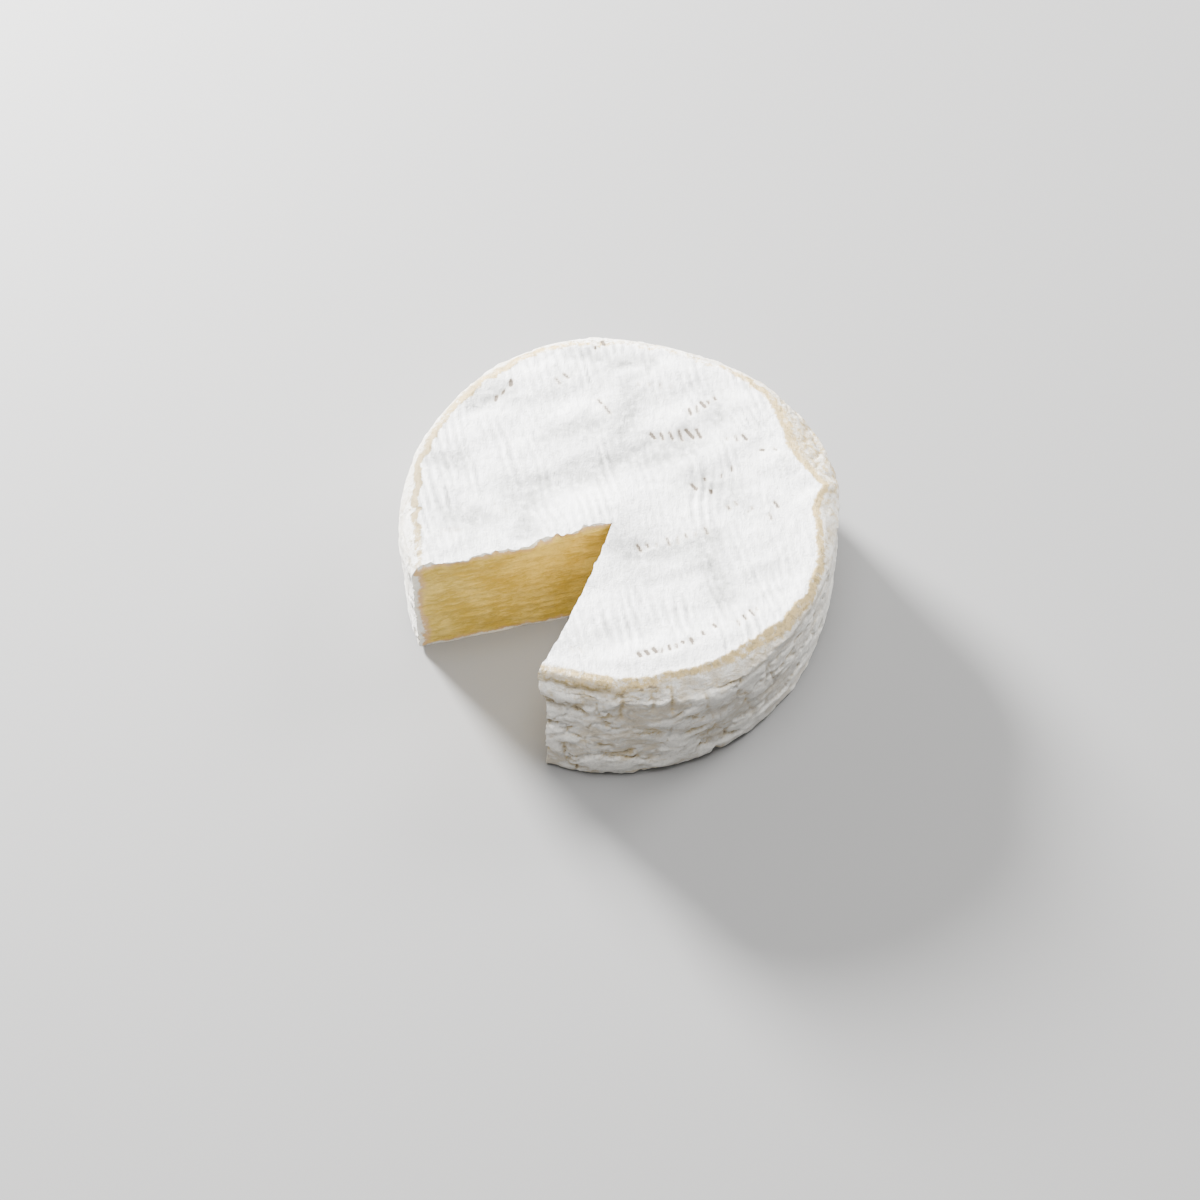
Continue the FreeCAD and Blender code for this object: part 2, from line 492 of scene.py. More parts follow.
    def creases(self, angle, z):
        """The creases of the side, from 0 to 1."""
        around = angle * self.radius
        drift = 2.2 * uneven(around / 8.0, z / 6.0, seed=44)
        flat = smooth(1 - np.abs(self.folds(angle, z)), 0.74, 0.98)
        flat = flat * smooth(uneven(around / 7.0, z / 3.5, seed=49), -0.55, 0.25)
        upright = 1 - np.abs(rough((around + 0.8 * drift) / 5.2, (z + drift) / 9.0, seed=47, layers=3))
        upright = 0.75 * smooth(upright, 0.86, 1.0) * smooth(uneven(around / 9.0, z / 8.0, seed=50), -0.1, 0.5)
        share = np.maximum(flat, upright)
        broken = 0.55 + 0.45 * uneven(z / 2.2, around / 2.0, seed=52)
        for middle, low, high in VEINS:
            vein = bell(turned(angle, middle) + 0.9 * uneven(z / 2.6, middle, seed=53), 0.55)
            share = np.maximum(share, 0.85 * vein * smooth(z, low - 1.5, low) * (1 - smooth(z, high, high + 1.5)))
        direction, level, slant = CRACK
        sway = 0.9 * uneven(z / 3.0, 0.0, seed=51)
        crack = bell(turned(angle, direction + slant * (level - z)) + sway, 0.5) * broken
        direction, level, slant = GRAZE
        graze = bell(turned(angle, direction + slant * (level - z)), 0.5)
        graze = graze * smooth(z, 6.5, 8.5) * (1 - smooth(z, 22.0, 24.0))
        # the groove under the lip, which the crease colours also darken as painted shade
        under = bell(z - self.lip_line(angle) + 0.3, 0.6) * near(angle, SHADE_UNDER_LIP)
        for line in (0.8 * crack, 0.6 * graze, under):
            share = np.maximum(share, line)
        return np.clip(share, 0.0, 1.0)


# ---------------------------------------------------------------- the mesh


def values_of(items, name, width=1, kind=float):
    """One value, or a row of values, for each point, face or corner of a mesh."""
    flat = np.empty(len(items) * width, kind)
    items.foreach_get(name, flat)
    return flat.reshape(-1, width) if width > 1 else flat


def points_of(mesh):
    """The mesh's points in millimetres, one row each."""
    return values_of(mesh.vertices, "co", 3) / MM


def put_points(mesh, points):
    """Moves the mesh's points to places in millimetres."""
    mesh.vertices.foreach_set("co", (points * MM).ravel())
    mesh.update()


def put_round(mesh, r, angle, z):
    """Moves the mesh's points to a radius, direction and height."""
    put_points(mesh, np.stack([r * np.cos(angle), r * np.sin(angle), z], 1))


def made_object(name, bm):
    """A new object from a bmesh, linked to the scene."""
    mesh = bpy.data.meshes.new(name)
    bm.to_mesh(mesh)
    bm.free()
    obj = bpy.data.objects.new(name, mesh)
    bpy.context.scene.collection.objects.link(obj)
    return obj


def apply_modifiers(obj):
    """Makes what the object's modifiers show its own mesh."""
    bpy.context.view_layer.update()
    graph = bpy.context.evaluated_depsgraph_get()
    shown = bpy.data.meshes.new_from_object(obj.evaluated_get(graph))
    old = obj.data
    obj.modifiers.clear()
    obj.data = shown
    shown.name = old.name
    bpy.data.meshes.remove(old)


class Spots:
    """The points of a mesh, and where each of them lies on the wheel's form. All is in millimetres."""

    def __init__(self, mesh, form):
        self.x, self.y, self.z = points_of(mesh).T
        self.r, self.angle = np.hypot(self.x, self.y), np.arctan2(self.y, self.x)
        self.reach, self.fall = shoulder_reach(self.angle), shoulder_fall(self.angle)
        self.side, self.crest = form.side(self.angle), form.crest(self.angle)
        self.upright = form.upright(self.r, self.angle, self.z)
        self.past_crest = form.way_down(self.r, self.angle, self.z)
        self.level = form.height - self.past_crest


def spun_wheel(form):
    """A plain wheel with rounded edges, spun from its profile and then given its uneven outline."""
    bm = bmesh.new()
    foot, round_in = 2.0, 5.0
    radius, height = form.radius, form.height
    profile = [(0.0, 0.0)]
    profile += [(radius * i / 12, 0.0) for i in range(1, 12)]
    for i in range(6):
        turn = math.pi / 2 * i / 5
        profile.append((radius - foot * (1 - math.sin(turn)), foot * (1 - math.cos(turn))))
    for i in range(1, 12):
        profile.append((radius, foot + (height - round_in - foot) * i / 12))
    for i in range(13):
        turn = math.pi / 2 * i / 12
        profile.append((radius - round_in * (1 - math.cos(turn)), height - round_in * (1 - math.sin(turn))))
    profile += [((radius - round_in) * i / 16, height) for i in range(15, -1, -1)]
    verts = [bm.verts.new((r * MM, 0.0, z * MM)) for r, z in profile]
    edges = [bm.edges.new(pair) for pair in zip(verts, verts[1:])]
    bmesh.ops.spin(
        bm, geom=verts + edges, cent=(0, 0, 0), axis=(0, 0, 1), dvec=(0, 0, 0), angle=2 * math.pi, steps=480,
        use_merge=True, use_normal_flip=False, use_duplicate=False,
    )
    bmesh.ops.remove_doubles(bm, verts=bm.verts, dist=0.00001)
    bmesh.ops.recalc_face_normals(bm, faces=bm.faces)
    obj = made_object("cheese_wheel", bm)

    p = Spots(obj.data, form)
    # high up the plain shoulder is stretched to its real reach, low down the outline is only moved
    inner, knee = radius - round_in, height - round_in
    edge = p.side - p.reach
    high = np.where(p.r < inner, p.r * edge / inner, edge + (p.r - inner) / round_in * p.reach)
    low = p.r * p.side / radius
    r = low + (high - low) * smooth(p.z, 10.0, 24.0)
    turn_down = height - p.fall
    z = np.where(p.z < knee, p.z * turn_down / knee, turn_down + (p.z - knee) / round_in * p.fall)
    r = r - form.lean(p.angle, z) * np.clip((r - p.side + p.reach) / p.reach, 0.0, 1.0)
    put_round(obj.data, r, p.angle, z)
    return obj


def remesh(obj, grain):
    """Even faces all over the object."""
    modifier = obj.modifiers.new("even", "REMESH")
    modifier.mode = "VOXEL"
    modifier.voxel_size = grain
    apply_modifiers(obj)


def top_relief(p, form):
    """How far the points of the top rise: its dish and rolls, hollows, fine ridges, down and marks."""
    on_top = smooth(p.crest - p.upright, -1.6, 1.2) * smooth(p.z, form.height - 2.5, form.height - 1.0)
    _, depth = form.hollow(p.x, p.y)
    lift = form.top(p.x, p.y) - form.height
    fine = form.ridge * form.ridges(p.x, p.y)
    fur = 0.07 * rough(p.x / 1.1, p.y / 1.1, seed=61, layers=2) + 0.10 * uneven(p.x / 3.0, p.y / 3.0, seed=63)
    return on_top * (lift - depth + fine + fur - 0.32 * form.marks(p.x, p.y))


def side_relief(p, form):
    """How far the points of the side stand out: its folds and creases, and the lip of the top rind by the cut."""
    on_side = smooth(p.past_crest, 1.0, 7.0) * smooth(p.z, 1.0, 4.0)
    around = p.angle * form.radius
    front = near(p.angle, FRONT)
    fold = (0.30 + 0.45 * front) * form.folds(p.angle, p.level)
    fold = fold + 0.35 * uneven(around / 15.0, p.z / 9.0, seed=71)
    fold = fold + 0.14 * rough(around / 2.2, p.z / 1.2, seed=75, layers=2)
    crease = (0.55 + 0.45 * front) * form.wrinkle * form.creases(p.angle, p.level)
    foot = form.lip_line(p.angle)
    lip = form.lip * near(p.angle, LIP) * smooth(p.level, foot - 0.6, foot + 0.6)
    return on_side * (fold - crease) + lip * smooth(p.upright - p.crest, 0.3, 1.5)


def shoulder_chamfer(p, form):
    """How far the points of the worn shoulder sink from a round towards a straight slope."""
    part = np.clip((p.upright - p.crest) / p.reach, 0.0, 1.0)
    share = 0.35 + 0.45 * near(p.angle, CHAMFERED_FRONT) + 0.25 * near(p.angle, FULL_CORNER)
    high = smooth(p.z, form.height - 6.0, form.height - 2.0)
    high = high * smooth(p.z, form.height - p.fall - 1.0, form.height - p.fall)
    return high * share * p.fall * (part - 1 + np.sqrt(1 - part * part))


def shoulder_crumbs(p, form):
    """How far the crumbs of the crest and of the worn shoulder stand up and out."""
    on_shoulder = smooth(p.upright - p.crest, -1.5, 0.0) * smooth(p.z, form.height - 6.0, form.height - 2.0)
    on_shoulder = on_shoulder * (1 - smooth(p.side - p.upright, -0.5, -0.1))
    crumbs = rough(p.x / 1.9, p.y / 1.9, p.z / 1.9, seed=81, layers=3) * (0.16 + 0.16 * near(p.angle, SLUMP))
    crumbs = crumbs + 0.10 * uneven(p.x / 0.9, p.y / 0.9, p.z / 0.9, seed=85)
    return 0.7 * on_shoulder * crumbs


def foot_relief(p, form):
    """How far the points of the foot stand out: it is ragged, with one chip."""
    around = p.angle * form.radius
    by_side = smooth(p.r, p.side - 4.0, p.side - 1.5)
    ragged = 0.35 * uneven(around / 2.6, 0.0, seed=91) + 0.2 * uneven(around / 0.9, p.z, seed=92)
    chip = 1.3 * near(p.angle, CHIP) * (1 - smooth(p.z, 1.5, 6.0))
    return by_side * ((1 - smooth(p.z, 0.6, 3.0)) * ragged - chip)


def shaped_rind(obj, form):
    """Moves the wheel's points into the relief of the rind."""
    p = Spots(obj.data, form)
    relief, crumbs = side_relief(p, form), shoulder_crumbs(p, form)
    # on the shoulder the relief of the side stands up from the slope, lower down it stands out
    out = np.clip((p.upright - p.side + p.reach) / p.reach, 0.0, 1.0) ** 0.7
    up = np.sqrt(1 - out * out)
    r = p.r + relief * out + foot_relief(p, form) + crumbs
    z = p.z + top_relief(p, form) + relief * up - shoulder_chamfer(p, form) + crumbs
    # the base stays flat on the floor
    z = np.where(p.z < 0.3, np.maximum(z, 0.0), z)
    put_round(obj.data, r, p.angle, z)


def plain_knife(form):
    """The wedge that the knife took out, as a plain prism with fine faces."""
    reach, foot, tall, rows, columns = 68.0, -3.0, 46.0, 76, 110
    px, py = form.point
    end = form.start + form.opening
    steps = [reach * i / columns for i in range(1, columns + 1)]
    outline = [(0.0, 0.0)]
    outline += [(d * math.cos(form.start), d * math.sin(form.start)) for d in steps]
    outline += [(d * math.cos(end), d * math.sin(end)) for d in reversed(steps)]
    bm = bmesh.new()
    cap = bm.faces.new([bm.verts.new(((px + u) * MM, (py + v) * MM, foot * MM)) for u, v in outline])
    for row in range(rows):
        grown = bmesh.ops.extrude_face_region(bm, geom=[cap])["geom"]
        if row:
            bmesh.ops.delete(bm, geom=[cap], context="FACES_ONLY")
        cap = next(g for g in grown if isinstance(g, bmesh.types.BMFace))
        bmesh.ops.translate(bm, verts=list(cap.verts), vec=(0, 0, tall / rows * MM))
    bmesh.ops.recalc_face_normals(bm, faces=bm.faces)
    for face in bm.faces:
        face.material_index = 1
        face.smooth = True
    return made_object("cheese_knife", bm)


def knife_marks(form, away, z, seed):
    """How far a cut face is set back: it is slightly wavy, streaked by the knife and torn by the upper edge."""
    back = 0.20 * uneven(away / 14.0, z / 11.0, seed=seed) + 0.13 * uneven(away / 4.5, z / 3.0, seed=seed + 1)
    back = back + form.drag * rough(away / 7.0, z / 1.1, seed=seed + 2, layers=3)
    back = back + 0.05 * uneven(away / 1.2, z / 0.8, seed=seed + 5)
    torn = bell(z - 35.5, 2.2) * (0.12 + 0.6 * np.clip(uneven(away / 1.9, z / 2.2, seed=seed + 7), 0, 1))
    return back + torn * rough(away / 1.6, z / 1.6, seed=seed + 8, layers=2)


def rolled_edge(form, away, over, seed):
    """How far the rind is dragged in over the upper edge of a cut face, more in some places than in others."""
    roll = 0.55 + 0.9 * uneven(away / 3.4, 0.0, seed=seed + 11) + 0.5 * uneven(away / 1.1, 0.0, seed=seed + 12)
    return form.edge_roll * np.clip(roll, 0, 1.4) * smooth(over, -2.0, 0.4)


def knife(form):
    """The wedge that the knife took out, with the marks of the knife on both faces."""
    obj = plain_knife(form)
    px, py = form.point
    x, y, z = points_of(obj.data).T
    away, angle = np.hypot(x - px, y - py), np.arctan2(y - py, x - px) % (2 * math.pi)
    ends_fade = smooth(away, 0.0, 5.0) * (1 - smooth(away, 60.0, 66.0))
    over = z - form.top(x, y)
    first = knife_marks(form, away, z, 101) + rolled_edge(form, away, over, 101)
    second = knife_marks(form, away, z, 121) + 0.2 * rolled_edge(form, away, over, 121)
    second = second + form.undercut * away / 47.0 * (1 - smooth(z, 22.5, 33.0))
    second = second - form.flare * smooth(away, 32.0, 44.0) * smooth(z, 31.0, 34.0)
    # turn is the way out of the wedge and into the cheese
    for push, along, turn in ((first, form.start, -1.0), (second, form.start + form.opening, 1.0)):
        push = push * ends_fade * (np.abs(angle - along) < 0.02)
        x = x - math.sin(along) * turn * push
        y = y + math.cos(along) * turn * push
    put_points(obj.data, np.stack([x, y, z], 1))
    return obj


def cut(obj, blade):
    """Takes the knife's wedge out of the wheel. The new faces keep the knife's material."""
    modifier = obj.modifiers.new("cut", "BOOLEAN")
    modifier.operation = "DIFFERENCE"
    modifier.solver = "MANIFOLD"
    modifier.object = blade
    apply_modifiers(obj)
    bpy.data.objects.remove(blade)


def thinned_base(mesh):
    """Joins the small flat faces of the base into large ones, and leaves no slivers."""
    level, on_floor, sliver = -0.9999, 0.00001, 0.000004
    bm = bmesh.new()
    bm.from_mesh(mesh)
    flat = [f for f in bm.faces if f.normal.z < level and all(v.co.z < on_floor for v in f.verts)]
    inner = {e for f in flat for e in f.edges}
    inner = [e for e in inner if len(e.link_faces) == 2 and all(g.normal.z < level for g in e.link_faces)]
    verts = {v for f in flat for v in f.verts}
    inner_verts = [v for v in verts if all(f.normal.z < level for f in v.link_faces)]
    bmesh.ops.dissolve_limit(
        bm, angle_limit=0.001, use_dissolve_boundaries=False, verts=inner_verts, edges=inner, delimit={"MATERIAL"}
    )
    bmesh.ops.dissolve_degenerate(bm, dist=sliver, edges=bm.edges)
    # a point that only two faces share would give doubled triangles
    bmesh.ops.dissolve_verts(bm, verts=[v for v in bm.verts if len(v.link_edges) == 2])
    bm.to_mesh(mesh)
    bm.free()


def worn_band(p):
    """Strength of the tan band along the rim, from 0 to 1."""
    width = swells(p.angle, BAND_WIDTH, BAND_WIDTH_SWELLS)
    band = smooth(p.past_crest, -0.9, 0.1) * (1 - smooth(p.past_crest, 0.7 * width, 1.3 * width + 0.4))
    band = band * np.clip(swells(p.angle, BAND_TONE, BAND_TONE_SWELLS), 0, 1)
    shoulder = smooth(p.past_crest, 0.0, 1.0) * (1 - smooth(p.past_crest, p.reach + 1.0, p.reach + 4.0))
    shoulder = shoulder * (0.16 + 0.36 * near(p.angle, SLUMP))
    return np.maximum(band, shoulder) * smooth(p.z, 12, 20)


def under_lip(p, form):
    """Where the painted shade under the lip lies, from 0 to 1."""
    line = bell(p.level - form.lip_line(p.angle) + 0.1, 0.32) * near(p.angle, LIP)
    return line * (0.75 + 0.25 * uneven(p.angle * 60.0, p.z / 1.5, seed=95))


def depth_under_rind(p, form):
    """Depth under the outside of the rind, made ragged, for the edge of the rind on the cut faces."""
    over = form.top(p.x, p.y) - p.z + 0.35
    out = np.clip((p.upright - (p.side - p.reach)) / p.reach, 0, 2)
    up = np.clip((p.z - (form.height - p.fall)) / p.fall, 0, 2)
    corner = np.where((out > 0) & (up > 0), (1 - np.hypot(out, up)) * np.minimum(p.reach, p.fall), 99.0)
    depth = np.minimum(np.minimum(over, 0.6 * (p.side - p.upright)), np.minimum(1.2 * p.z, corner))
    dx, dy = p.x - form.point[0], p.y - form.point[1]
    along = np.hypot(dx, dy)
    first = np.abs(turned(np.arctan2(dy, dx), math.degrees(form.start))) < 12
    rag = 0.75 * rough(along / 2.2, p.z / 3.0, seed=131, layers=3)
    rag = rag + np.where(first & (p.z > 25), 0.8 * bell(along - 20.2, 2.6) - 0.3 * bell(along - 8.0, 4.0), 0.0)
    return depth - np.clip(rag, -0.4, 3.0)


def measured(mesh, form):
    """Stores the numbers that the materials read, one attribute for each."""
    p = Spots(mesh, form)
    high = smooth(p.z, form.height - 3.0, form.height - 1.5)
    top = smooth(p.crest - p.r, -0.5, 1.5) * high
    numbers = {
        "crest": p.past_crest,
        "hollow": form.hollow(p.x, p.y)[0] * top,
        "mark": form.marks(p.x, p.y) * high,
        "ridge": form.ridges(p.x, p.y) * top,
        "crease": form.creases(p.angle, p.level),
        "fold": form.folds(p.angle, p.level),
        "band": worn_band(p),
        "under_lip": under_lip(p, form),
        "brown_left": near(p.angle, BROWN_LEFT),
        "front": 0.55 + 0.45 * near(p.angle, STAINED_FRONT),
        "depth": depth_under_rind(p, form),
    }
    for name, values in numbers.items():
        attribute = mesh.attributes.new(name, "FLOAT", "POINT")
        attribute.data.foreach_set("value", values.astype(np.float32))


def lay_out(mesh, form):
    """A flat layout for textures: the top, the base at half size, the side in two strips and the two cut faces."""
    across, strip_end, side_start = 192.0, 163.0, 240.0
    middle, normal = values_of(mesh.polygons, "center", 3) / MM, values_of(mesh.polygons, "normal", 3)
    slots = values_of(mesh.polygons, "material_index", kind=np.int32)
    corners = values_of(mesh.polygons, "loop_total", kind=np.int32)

    def profile(points):
        """Degrees from the start of the side, the way down from the crest, and whether a point is on the top."""
        x, y, z = points.T
        angle = np.arctan2(y, x)
        r = form.upright(np.hypot(x, y), angle, z)
        around = (np.degrees(angle) - side_start) % 360.0
        reach, side, fall = shoulder_reach(angle), form.side(angle), shoulder_fall(angle)
        down = form.height - z + 0.7 * np.clip(r - side + reach, 0.0, reach - 1.2)
        down = down + 0.7 * np.clip(side - 1.0 - r, 0.0, 3.0) * (z < 2.5)
        up = (z - form.height + fall) / fall
        return around, down, (up > (r - side + reach) / reach) & (z > form.height - 8)

    around, _, on_top = profile(middle)
    from_point = middle[:, :2] - form.point
    ahead = from_point @ np.array([math.cos(form.start), math.sin(form.start)])
    aside = np.abs(from_point @ np.array([-math.sin(form.start), math.cos(form.start)]))
    paste, first = slots == 1, aside < 0.35 * np.maximum(ahead, 0.0) + 0.4
    base = (normal[:, 2] < -0.999) & (middle[:, 2] < 0.01)
    kind = np.repeat(
        np.select([paste & first, paste, base, on_top, around < strip_end], [0, 1, 2, 3, 4], 5), corners
    )
    points = points_of(mesh)[values_of(mesh.loops, "vertex_index", kind=np.int32)]
    x, y, z = points.T
    along = np.hypot(x - form.point[0], y - form.point[1])
    around, down, _ = profile(points)
    length = np.radians(around) * form.radius
    split = math.radians(strip_end) * form.radius
    places = (
        (110.5 + along, 56.0 + z),  # the first cut face
        (149.5 + z, 99.5 + along),  # the second cut face
        (110.5 + (x + 54.0) / 2, 0.5 + (y + 54.0) / 2),  # the base
        (54.5 + x, 54.5 + y),  # the top
        (length - 3.0, 110.5 + down),  # the first strip of the side
        (length - split + 0.8, 151.5 + down),  # the second strip of the side
    )
    u, v = (np.choose(kind, values) for values in zip(*places))
    layer = mesh.uv_layers.new(name="OFBake")
    layer.data.foreach_set("uv", (np.stack([u, v], 1) / across).astype(np.float32).ravel())


def sharp_cut_edges(mesh):
    """Marks the edges between rind and cut face sharp, and shades all but the base smooth."""
    bm = bmesh.new()
    bm.from_mesh(mesh)
    for face in bm.faces:
        face.smooth = not (face.normal.z < -0.9999 and face.calc_center_median().z < 0.00001)
    for edge in bm.edges:
        if len(edge.link_faces) == 2:
            one, other = edge.link_faces
            edge.smooth = one.material_index == other.material_index and one.smooth == other.smooth
    bm.to_mesh(mesh)
    bm.free()


# ---------------------------------------------------------------- materials


class Nodes:
    """Short ways to add and join the nodes of one tree."""

    def __init__(self, tree):
        self.tree = tree

    def add(self, kind, label="", **values):
        node = self.tree.nodes.new(kind)
        node.label = label
        for key, value in values.items():
            setattr(node, key, value)
        return node

    def link(self, source, target):
        self.tree.links.new(source, target)

    def put(self, socket, value):
        """A socket's value: another node's socket, a colour or a plain value."""
        if isinstance(value, bpy.types.NodeSocket):
            self.link(value, socket)
        elif socket.type == "RGBA":
            socket.default_value = (*value, 1.0)
        else:
            socket.default_value = value

    def number(self, name):
        """A number that the mesh stores for each point."""
        return self.add("ShaderNodeAttribute", name, attribute_name=name).outputs["Fac"]

    def math(self, operation, *values, clamp=False):
        node = self.add("ShaderNodeMath", operation.lower(), operation=operation, use_clamp=clamp)
        for socket, value in zip(node.inputs, values):
            self.put(socket, value)
        return node.outputs[0]

    def plus(self, one, other):
        return self.math("ADD", one, other)

    def less(self, one, other):
        return self.math("SUBTRACT", one, other)

    def times(self, one, other, clamp=False):
        return self.math("MULTIPLY", one, other, clamp=clamp)

    def swing(self, noise, amount):
        """A noise as a swing of an amount about nothing."""
        return self.times(self.less(noise, 0.5), amount)

    def step(self, value, low, high, label=""):
        """0 at low, 1 at high, and a smooth step between them."""
        node = self.add("ShaderNodeMapRange", label, interpolation_type="SMOOTHSTEP")
        for name, given in (("Value", value), ("From Min", low), ("From Max", high)):
            self.put(node.inputs[name], given)
        return node.outputs["Result"]

    def mix(self, share, one, other, label="", blend="MIX"):
        """One colour turned into another by a share from 0 to 1."""
        node = self.add("ShaderNodeMix", label, data_type="RGBA", blend_type=blend, clamp_factor=True)
        for index, value in ((0, share), (6, one), (7, other)):
            self.put(node.inputs[index], value)
        return node.outputs[2]

    def noise(self, vector, scale, detail=3.0, roughness=0.55, label="", distortion=0.0):
        node = self.add("ShaderNodeTexNoise", label, noise_dimensions="3D", normalize=True)
        for name, value in (
            ("Vector", vector), ("Scale", scale), ("Detail", detail), ("Roughness", roughness),
            ("Distortion", distortion),
        ):
            self.put(node.inputs[name], value)
        return node.outputs["Fac"]

    def place(self, scale=(1000.0, 1000.0, 1000.0), turn=0.0, label="millimetres"):
        """Place on the object, in millimetres unless stretched."""
        coords = self.add("ShaderNodeTexCoord", "place")
        mapping = self.add("ShaderNodeMapping", label)
        self.link(coords.outputs["Object"], mapping.inputs["Vector"])
        mapping.inputs["Scale"].default_value = scale
        mapping.inputs["Rotation"].default_value = (0.0, 0.0, turn)
        return mapping.outputs["Vector"]


def new_material(name, roughness, specular):
    """A material, its nodes and its shader."""
    material = bpy.data.materials.new(name)
    material.use_nodes = True
    shader = material.node_tree.nodes["Principled BSDF"]
    shader.inputs["Roughness"].default_value = roughness
    shader.inputs["Specular IOR Level"].default_value = specular
    return material, Nodes(material.node_tree), shader


def fine_fur_group():
    """A group for the down of the mould and the grain of the paste: a colour shade and a height."""
    group = bpy.data.node_groups.get("fine_fur")
    if group:
        return group
    group = bpy.data.node_groups.new("fine_fur", "ShaderNodeTree")
    face = group.interface
    face.new_socket("Place", in_out="INPUT", socket_type="NodeSocketVector")
    face.new_socket("Size", in_out="INPUT", socket_type="NodeSocketFloat").default_value = 1.0
    face.new_socket("Depth", in_out="INPUT", socket_type="NodeSocketFloat").default_value = 0.1
    face.new_socket("Shade", in_out="OUTPUT", socket_type="NodeSocketFloat")
    face.new_socket("Height", in_out="OUTPUT", socket_type="NodeSocketFloat")
    n = Nodes(group)
    given = n.add("NodeGroupInput")
    result = n.add("NodeGroupOutput")
    scale = n.add("ShaderNodeVectorMath", "size", operation="SCALE")
    n.link(given.outputs["Place"], scale.inputs[0])
    n.link(given.outputs["Size"], scale.inputs["Scale"])
    down = n.noise(scale.outputs[0], 1.0, detail=5.0, roughness=0.65, label="down")
    tufts = n.noise(scale.outputs[0], 0.27, detail=2.0, label="tufts")
    height = n.plus(n.times(down, 0.65), n.times(tufts, 0.35))
    n.link(n.plus(1.0, n.swing(height, given.outputs["Depth"])), result.inputs["Shade"])
    n.link(height, result.inputs["Height"])
    return group


def fine_fur(n, place, size, depth):
    """The shade and the height of the fine fur."""
    node = n.add("ShaderNodeGroup", "fine fur", node_tree=fine_fur_group())
    for name, value in (("Place", place), ("Size", size), ("Depth", depth)):
        n.put(node.inputs[name], value)
    return node.outputs["Shade"], node.outputs["Height"]


def put_colour(n, shader, colour, shade, label):
    """Joins a colour to the shader, darkened and lightened by a fine shade."""
    grey = n.add("ShaderNodeCombineColor", "shade")
    for socket in grey.inputs[:3]:
        n.link(shade, socket)
    n.link(n.mix(1.0, colour, grey.outputs[0], label, "MULTIPLY"), shader.inputs["Base Color"])


def put_bump(n, shader, height, strength, distance, label):
    """Joins a fine height to the shader."""
    bump = n.add("ShaderNodeBump", label)
    bump.inputs["Strength"].default_value = strength
    bump.inputs["Distance"].default_value = distance
    n.link(height, bump.inputs["Height"])
    n.link(bump.outputs["Normal"], shader.inputs["Normal"])


def mould_colour(n, place, colours, side, fibres):
    """White mould, with painted shade between its fibres and in the troughs of the fine ridges, and grey in the
    hollows as thinner mould and painted shade.
    """
    thin = colours.thin_mould_and_shade
    colour = n.mix(side, colours.mould, colours.side_mould, "top or side")
    # painted shade between the fibres, whose low parts also sink in the bump
    colour = n.mix(n.times(n.step(fibres, 0.58, 0.34), 0.34), colour, thin, "between fibres")
    patches = n.noise(place, 0.5, 4.0, 0.6, "thin patches")
    patches = n.step(n.plus(patches, n.times(fibres, 0.5)), 0.42, 0.88)
    # the hollows: grey of the thinner mould, and painted shade
    hollow = n.times(n.number("hollow"), patches, clamp=True)
    colour = n.mix(n.times(hollow, 0.95), colour, thin, "thin mould")
    # painted shade in the troughs of the fine ridges
    ridge_trough_shade = n.step(n.number("ridge"), 0.15, -0.75, "troughs of the fine ridges")
    return n.mix(n.times(ridge_trough_shade, 0.42), colour, thin, "ridge_trough_shade")


def bare_rind_colour(n, place, colours):
    """Tan rind where the mould is worn off, with brown flecks, browner on the left."""
    flecks = n.step(n.noise(place, 0.95, 5.0, 0.72, "brown flecks"), 0.50, 0.68)
    bare = n.mix(flecks, colours.tan, colours.brown, "bare rind")
    return n.mix(n.times(n.number("brown_left"), 0.9), bare, colours.brown, "browner on the left")


def with_folds(n, colour, bare, colours, side, bark):
    """Painted shade between the folds of the side, soft stains, creases worn to bare rind, and the deepest creases
    darkened, partly as dark rind and partly as painted shade.
    """
    fold, rough_bark = n.number("fold"), n.swing(bark, 2.2)
    tone = n.times(side, n.number("front"))
    # painted shade where the side sinks between its folds
    shade_between_folds = n.step(n.plus(fold, n.times(rough_bark, 0.8)), 0.15, -0.75, "low between folds")
    colour = n.mix(n.times(n.times(shade_between_folds, tone), 0.50), colour, colours.thin_mould_and_shade, "low folds")
    stains = n.noise(n.place((230.0, 230.0, 430.0), label="level stains"), 1.0, 6.0, 0.74, "stains", 0.8)
    stained = n.times(tone, n.step(n.less(stains, n.times(fold, 0.12)), 0.44, 0.64))
    colour = n.mix(n.times(stained, 0.78), colour, colours.stain, "stains")
    lines = n.plus(n.number("crease"), rough_bark)
    worn = n.times(tone, n.step(lines, 0.25, 0.95, "creases"))
    colour = n.mix(n.times(worn, 0.66), colour, bare, "creases")
    # the deepest creases: partly dark rind, partly painted shade
    deep = n.times(tone, n.step(lines, 0.75, 1.25, "deep creases"))
    return n.mix(n.times(deep, 0.75), colour, colours.mark, "deep creases")


def with_dry_rim(n, place, colour, colours, crest, broken):
    """Painted shade under the lip, and flecks of dry rind along the rim."""
    # painted shade under the lip, in brown
    lip = n.step(n.plus(n.number("under_lip"), n.swing(broken, 0.9)), 0.25, 0.75)
    colour = n.mix(n.times(lip, 0.85), colour, colours.brown, "under the lip")
    near_rim = n.times(n.step(crest, -0.4, 0.6), n.step(crest, 6.0, 2.5))
    dry = n.times(near_rim, n.step(n.noise(place, 0.7, 4.0, 0.70, "dry flecks", 0.4), 0.545, 0.62))
    dry = n.times(dry, n.step(n.noise(place, 0.12, 2.0, 0.5, "where it is dry"), 0.42, 0.58))
    return n.mix(n.times(dry, 0.70), colour, colours.brown, "dry flecks")


